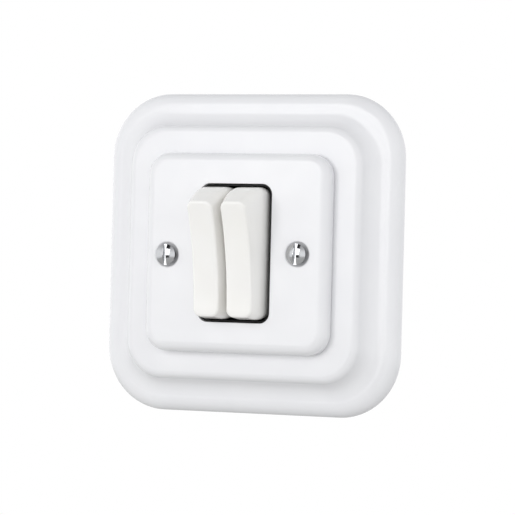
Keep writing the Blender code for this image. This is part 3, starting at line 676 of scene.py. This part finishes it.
def cover_screw_profile():
    """Raised countersunk head on a threaded shank, from its tip up to its crown."""
    low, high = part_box("cover_screw_left")
    tip, crown = -high.y, -low.y
    head, shank, dome = (high.x - low.x) / 2, 1.75 * MM, 0.95 * MM
    rim = crown - dome
    radius = (head ** 2 + dome ** 2) / (2 * dome)
    points = [(0, tip), (shank - 0.5 * MM, tip)]
    points += threaded(shank, tip + 0.5 * MM, rim - 4.4 * MM, 0.6 * MM, 0.28 * MM)
    points += [(shank, rim - 3.2 * MM), (shank, rim - 0.25 * MM - (head - shank)),
               (head - 0.05 * MM, rim - 0.3 * MM)]
    points += [(head, rim - 0.22 * MM), (head, rim - 0.1 * MM)]
    reach = math.degrees(math.asin(head / radius))
    points += arc((0, crown - radius), radius, 90 - reach, 90, 14)
    points[-1] = (0, crown)
    return points


class SWITCH_OT_screws(bpy.types.Operator):
    """Slotted screws: two in the cover, two into the wall box, one in each terminal"""
    bl_idname = "switch.screws"
    bl_label = "Build Screws"

    def execute(self, context):
        metal = context.scene.switch_metal
        looks = finishes()
        for name, twist in zip(SIDES, COVER_SCREW_TWISTS):
            node = "cover_screw_" + name
            centre = middle(node)
            turn = Matrix.Rotation(math.radians(twist), 4, "Z")
            place = STAND @ Matrix.Translation((centre.x, centre.y, 0)) @ turn
            bm = slotted(cover_screw_profile(), metal.slot_width, metal.slot_depth)
            add_piece("raised_screw_" + name, bm, (looks["nickel_plate"],), "root", [node], place)
        for name in ("top", "bottom"):
            node = "box_screw_" + name
            centre = middle(node)
            seat = STRAP_HIGH.y - STRAP_LOW.y + 0.05 * MM
            points = [(0, -15.0 * MM), (0.9 * MM, -15.0 * MM)]
            points += threaded(1.6 * MM, -14.4 * MM, seat - 0.5 * MM, 0.5 * MM, 0.26 * MM)
            points += [(1.5 * MM, seat), (2.9 * MM, seat), (3.0 * MM, seat + 0.15 * MM)]
            points += arc((1.8 * MM, seat + 0.9 * MM), 1.2 * MM, 0, 90, 6) + [(0, seat + 2.2 * MM)]
            bm = slotted(points, 0.9 * MM, 0.9 * MM, 40)
            place = STAND @ Matrix.Translation((centre.x, centre.y, 0))
            add_piece("panhead_" + name, bm, (looks["zinc_plate"],), "root", [node], place)
        for name in TERMINALS:
            node = "terminal_screw_" + name
            centre = middle(node)
            points = [(0, 15.9 * MM), (1.1 * MM, 15.9 * MM)]
            points += threaded(1.45 * MM, 16.1 * MM, 19.0 * MM, 0.5 * MM, 0.22 * MM)
            points += [(1.4 * MM, 19.2 * MM), (2.4 * MM, 19.2 * MM), (2.4 * MM, 20.6 * MM)]
            points += arc((2.0 * MM, 20.6 * MM), 0.4 * MM, 0, 90, 4) + [(0, 21.0 * MM)]
            bm = slotted(points, 0.8 * MM, 0.8 * MM, 40)
            turn = Matrix.Rotation(math.radians(25 if centre.y > 0 else -30), 4, "Z")
            turn = turn @ Matrix.Rotation(math.pi, 4, "X")
            place = STAND @ Matrix.Translation((centre.x, centre.y, 0)) @ turn
            add_piece("clamp_screw_" + name, bm, (looks["zinc_plate"],), "root", [node], place)
        return {"FINISHED"}


class SWITCH_OT_strap(bpy.types.Operator):
    """Pressed steel strap with its slots, and the two threaded pillars riveted to it"""
    bl_idname = "switch.strap"
    bl_label = "Build Strap"

    def execute(self, context):
        looks = finishes()
        half, thick = STRAP_HIGH.x, STRAP_HIGH.y - STRAP_LOW.y
        ease = 0.15 * MM
        spots = [(0, 30 * MM), (30 * MM, 0), (0, -30 * MM), (-30 * MM, 0)]
        bm = bmesh.new()

        def level(out, grow):
            """Every outline of the strap at one height; grow widens the holes and shrinks the edge."""
            loops = [rounded_loop(bm, half - grow, half - grow, 8 * MM - grow, out, 12),
                     rounded_loop(bm, 17.4 * MM + grow, 23.5 * MM + grow, 6.6 * MM + grow, out, 12)]
            for x, up in spots:
                wide, tall = (5.1 * MM, 2.1 * MM) if x == 0 else (2.1 * MM, 5.1 * MM)
                loops.append(rounded_loop(bm, wide + grow, tall + grow, 2.05 * MM + grow, out, 10, (x, up)))
            for name in SIDES:
                loops.append(round_loop(bm, 2.8 * MM + grow, out, middle("threaded_pillar_" + name), 32))
            return loops

        stack = [level(0.0, ease), level(ease, 0.0), level(thick - ease, 0.0), level(thick, ease)]
        for outline in zip(*stack):
            bridge(bm, outline)
        fill(bm, stack[0])
        fill(bm, stack[-1])
        add_piece("pressed_strap", bm, (looks["zinc_plate"],), "root", ["mounting_strap"])
        top = -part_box("threaded_pillar_left")[0].y
        for name in SIDES:
            centre = middle("threaded_pillar_" + name)
            points = [(1.9 * MM, 0.1 * MM), (2.5 * MM, 0.1 * MM), (2.5 * MM, thick + 0.2 * MM),
                      (2.9 * MM, thick + 0.2 * MM), (3.0 * MM, thick + 0.35 * MM), (3.0 * MM, top - 0.3 * MM),
                      (2.7 * MM, top), (2.2 * MM, top), (1.9 * MM, top - 0.3 * MM), (1.9 * MM, 0.1 * MM)]
            place = STAND @ Matrix.Translation((centre.x, centre.y, 0))
            add_piece("pillar_" + name, turned(points, 48), (looks["brass_strip"],), "root",
                      ["threaded_pillar_" + name], place)
        return {"FINISHED"}


class SWITCH_OT_base(bpy.types.Operator):
    """Rear housing with screwdriver holes, wire entries, collars and grip ribs"""
    bl_idname = "switch.base"
    bl_label = "Build Rear Housing"

    def execute(self, context):
        look = (finishes()["black_thermoset"],)
        half_x, half_up, back = BASE_HIGH.x, BASE_HIGH.z, -BASE_HIGH.y
        corner, neck_top = 9.0 * MM, -BASE_LOW.y
        bm = bmesh.new()
        rows = [(half_x - 1.4 * MM + grow, half_up - 1.4 * MM + grow, corner - 1.4 * MM + grow, back + rise)
                for grow, rise in arc((0, 1.4 * MM), 1.4 * MM, -90, 0, 6)]
        rows += [(half_x, half_up, corner, -0.6 * MM),
                 (half_x - 0.3 * MM, half_up - 0.3 * MM, corner - 0.3 * MM, -0.3 * MM),
                 (17.0 * MM, 23.1 * MM, 6.0 * MM, -0.3 * MM), (17.0 * MM, 23.1 * MM, 6.0 * MM, neck_top),
                 (12.6 * MM, 20.5 * MM, 2.0 * MM, neck_top), (12.6 * MM, 20.5 * MM, 2.0 * MM, -18 * MM)]
        loops = [rounded_loop(bm, *row, steps=14) for row in rows]
        bridge(bm, loops)
        fill(bm, [loops[0]])
        fill(bm, [loops[-1]])
        bmesh.ops.recalc_face_normals(bm, faces=bm.faces[:])
        tools = []
        for name in TERMINALS:
            spot = middle("terminal_screw_" + name)
            driver = turned([(0, back - MM), (3.3 * MM, back - MM), (3.3 * MM, back),
                             (2.7 * MM, back + 0.6 * MM), (2.7 * MM, -17 * MM), (0, -17 * MM)], 40)
            driver.transform(Matrix.Translation((spot.x, spot.y, 0)))
            entry = turned([(0, -4 * MM), (1.9 * MM, -4 * MM), (1.9 * MM, 2.3 * MM),
                            (2.9 * MM, 3.0 * MM), (0, 3.0 * MM)], 40)
            wall = math.copysign(half_up - 2.7 * MM, spot.y)
            turn = Matrix.Rotation(math.copysign(math.pi / 2, -spot.y), 4, "X")
            entry.transform(Matrix.Translation((spot.x, wall, -14 * MM)) @ turn)
            tools += [driver, entry]
        for side in (-1, 1):
            tools.append(block((side * 8.2 * MM - 0.4 * MM, -2.2 * MM, back - MM),
                               (side * 8.2 * MM + 0.4 * MM, 2.2 * MM, back + 0.5 * MM)))
            low, high = sorted((side * (half_x - 0.45 * MM), side * (half_x + MM)))
            for up in (-8.8 * MM, -4.4 * MM, 0.0, 4.4 * MM, 8.8 * MM):
                tools.append(block((low, up - 0.5 * MM, back + 4 * MM), (high, up + 0.5 * MM, -3 * MM)))
        add_piece("moulded_base", carve(bm, tools), look, "root", ["base_housing"], sharp=30)
        return {"FINISHED"}


class SWITCH_OT_painted_shade_ring(bpy.types.Operator):
    """Thin black ring that lines the opening, with its upper edges eased; its black is painted shade for the
    narrow gap round the rockers
    """
    bl_idname = "switch.trim"
    bl_label = "Build Opening Trim"

    def execute(self, context):
        settings = context.scene.switch_porcelain
        low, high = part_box("opening_trim")
        foot, top = -high.y, -low.y
        wall, ease = 0.35 * MM, 0.08 * MM
        corner = settings.opening_corner - 0.3 * MM
        bm = bmesh.new()
        rows = [(0, foot), (0, top - ease), (ease, top), (wall - ease, top), (wall, top - ease), (wall, foot)]
        bridge(bm, [rounded_loop(bm, high.x - inset, high.z - inset, corner - inset, out, 12)
                    for inset, out in rows], closed=True)
        # the ring's black paints the shade that falls in the gap between the opening and the rockers
        add_piece("painted_shade_ring", bm, (finishes()["black_thermoset"],), "root", ["opening_trim"])
        return {"FINISHED"}


class SWITCH_OT_inside(bpy.types.Operator):
    """Finishes of the pieces inside, whose measured shapes stay as they are"""
    bl_idname = "switch.inside"
    bl_label = "Finish Inner Pieces"

    def execute(self, context):
        looks = finishes()
        by_slot = {"brass": "brass_strip", "steel": "spring_steel", "zinc_plate": "zinc_plate",
                   "silver": "contact_silver", "thermoset": "black_thermoset", "nickel": "nickel_plate",
                   "porcelain": "glazed_porcelain", "rocker_plastic": "urea_moulding"}
        slots = {part["node"]: part["material_slot"] for part in frame["record"]["subparts"]}
        for node, obj in frame["nodes"].items():
            for place in obj.material_slots:
                place.material = looks[by_slot[slots[node]]]
        return {"FINISHED"}


# ---------------------------------------------------------------- stage

class SWITCH_OT_stage(bpy.types.Operator):
    """Floor, soft light and the camera"""
    bl_idname = "switch.stage"
    bl_label = "Set Stage"

    def execute(self, context):
        settings = context.scene.switch_stage
        context.scene.view_settings.view_transform = "Standard"
        self.add_floor(settings)
        self.add_surround(context.scene, settings)
        self.add_softbox("front_key", (-0.3, -1.5, 0.4), 1.0, settings.key_power)
        self.add_camera(context.scene, settings)
        return {"FINISHED"}

    def add_floor(self, settings):
        bm = bmesh.new()
        bmesh.ops.create_grid(bm, x_segments=1, y_segments=1, size=settings.floor_half,
                              matrix=Matrix.Translation((0, 0, -settings.floor_depth)))
        mesh = bpy.data.meshes.new("floor")
        bm.to_mesh(mesh)
        bm.free()
        material, tree, shader, where = start("matt_floor", roughness=0.9)
        pale = settings.floor[:]
        mottle(tree, shader, where, (pale, tuple(0.99 * c for c in pale)), 60)
        mesh.materials.append(material)
        floor = bpy.data.objects.new("floor", mesh)
        bpy.context.collection.objects.link(floor)

    def add_surround(self, scene, settings):
        """White tent: brightest at eye level, dimmer overhead and below, with a dark slit in front."""
        world = bpy.data.worlds.new("light_tent")
        world.use_nodes = True
        scene.world = world
        tree = world.node_tree
        tree.nodes.clear()
        ray = add_node(tree, "ShaderNodeTexCoord").outputs["Generated"]
        axes = add_node(tree, "ShaderNodeSeparateXYZ", {"Vector": ray}).outputs
        height = add_node(tree, "ShaderNodeMapRange", {"Value": axes["Z"], "From Min": -1.0, "From Max": 1.0})
        level = self.add_ramp(tree, height.outputs["Result"],
                              ((0.0, 0.12), (0.3, 0.44), (0.44, 1.0), (0.6, 1.0), (0.78, 0.6), (1.0, 0.36)))
        front = add_node(tree, "ShaderNodeMath", {0: axes["Y"], 1: -1.0}, operation="MULTIPLY")
        bearing = add_node(tree, "ShaderNodeMath", {0: axes["X"], 1: front.outputs[0]}, operation="ARCTAN2")
        around = add_node(tree, "ShaderNodeMapRange",
                          {"Value": bearing.outputs[0], "From Min": -math.pi, "From Max": math.pi})
        slit = 0.5 - settings.slit_bearing / (2 * math.pi)
        wide = settings.slit_width / (2 * math.pi)
        dark = self.add_ramp(tree, around.outputs["Result"],
                             ((slit - wide, 1.0), (slit - 0.7 * wide, settings.slit_level),
                              (slit + 0.7 * wide, settings.slit_level), (slit + wide, 1.0)))
        tone = add_node(tree, "ShaderNodeMath", {0: level, 1: dark}, operation="MULTIPLY")
        light = add_node(tree, "ShaderNodeBackground", {"Color": (0.992, 1.0, 1.008, 1.0)})
        strength = add_node(tree, "ShaderNodeMath", {0: tone.outputs[0], 1: settings.tent_strength},
                            operation="MULTIPLY")
        tree.links.new(strength.outputs[0], light.inputs["Strength"])
        white = add_node(tree, "ShaderNodeBackground", {"Color": (1, 1, 1, 1), "Strength": 1.0})
        seen = add_node(tree, "ShaderNodeLightPath").outputs["Is Camera Ray"]
        mix = add_node(tree, "ShaderNodeMixShader", {0: seen, 1: light.outputs[0], 2: white.outputs[0]})
        add_node(tree, "ShaderNodeOutputWorld", {"Surface": mix.outputs[0]})

    def add_ramp(self, tree, value, stops):
        ramp = add_node(tree, "ShaderNodeValToRGB", {"Fac": value})
        elements = ramp.color_ramp.elements
        while len(elements) < len(stops):
            elements.new(0.5)
        for element, (position, tone) in zip(elements, stops):
            element.position = position
            element.color = (tone, tone, tone, 1.0)
        return ramp.outputs["Color"]

    def add_softbox(self, name, place, size, power):
        light = bpy.data.lights.new(name, "AREA")
        light.shape, light.size, light.energy = "SQUARE", size, power
        box = bpy.data.objects.new(name, light)
        bpy.context.collection.objects.link(box)
        box.location = place
        box.rotation_euler = (-Vector(place)).to_track_quat("-Z", "Y").to_euler()

    def add_camera(self, scene, settings):
        yaw, pitch, roll = settings.yaw, settings.pitch, settings.roll
        back = Vector((math.sin(yaw) * math.cos(pitch), -math.cos(yaw) * math.cos(pitch), math.sin(pitch)))
        right = (-back).cross(Vector((0, 0, 1))).normalized()
        up = right.cross(-back)
        turn = Matrix((math.cos(roll) * right + math.sin(roll) * up,
                       math.cos(roll) * up - math.sin(roll) * right, back)).transposed()
        data = bpy.data.cameras.new("camera")
        data.lens, data.sensor_width = settings.lens, 36.0
        data.clip_start, data.clip_end = 0.02, 20.0
        camera = bpy.data.objects.new("camera", data)
        bpy.context.collection.objects.link(camera)
        camera.matrix_world = Matrix.Translation(CAMERA_TARGET + back * settings.distance) @ turn.to_4x4()
        scene.camera = camera


# ---------------------------------------------------------------- add-on

GROUPS = (("switch_porcelain", SwitchPorcelain), ("switch_rockers", SwitchRockers),
          ("switch_metal", SwitchMetal), ("switch_stage", SwitchStage))
OPERATORS = (SWITCH_OT_frame, SWITCH_OT_cover, SWITCH_OT_rockers, SWITCH_OT_screws, SWITCH_OT_strap,
             SWITCH_OT_base, SWITCH_OT_painted_shade_ring, SWITCH_OT_inside, SWITCH_OT_stage)


class SWITCH_PT_panel(bpy.types.Panel):
    """Builders and settings of the rocker switch"""
    bl_idname = "SWITCH_PT_panel"
    bl_label = "Rocker Switch"
    bl_space_type = "VIEW_3D"
    bl_region_type = "UI"
    bl_category = "Switch"

    def draw(self, context):
        for operator in OPERATORS:
            self.layout.operator(operator.bl_idname)
        for name, group in GROUPS:
            box = self.layout.box()
            box.label(text=group.__doc__)
            for key in group.__annotations__:
                box.prop(getattr(context.scene, name), key)


def register():
    for name, group in GROUPS:
        bpy.utils.register_class(group)
        setattr(bpy.types.Scene, name, bpy.props.PointerProperty(type=group))
    for cls in (*OPERATORS, SWITCH_PT_panel):
        bpy.utils.register_class(cls)


def unregister():
    for cls in (SWITCH_PT_panel, *reversed(OPERATORS)):
        bpy.utils.unregister_class(cls)
    for name, group in reversed(GROUPS):
        delattr(bpy.types.Scene, name)
        bpy.utils.unregister_class(group)


def main():
    register()
    bpy.ops.switch.frame()
    bpy.ops.switch.cover()
    bpy.ops.switch.rockers()
    bpy.ops.switch.screws()
    bpy.ops.switch.strap()
    bpy.ops.switch.base()
    bpy.ops.switch.trim()
    bpy.ops.switch.inside()
    bpy.ops.switch.stage()


if __name__ == "__main__":
    main()
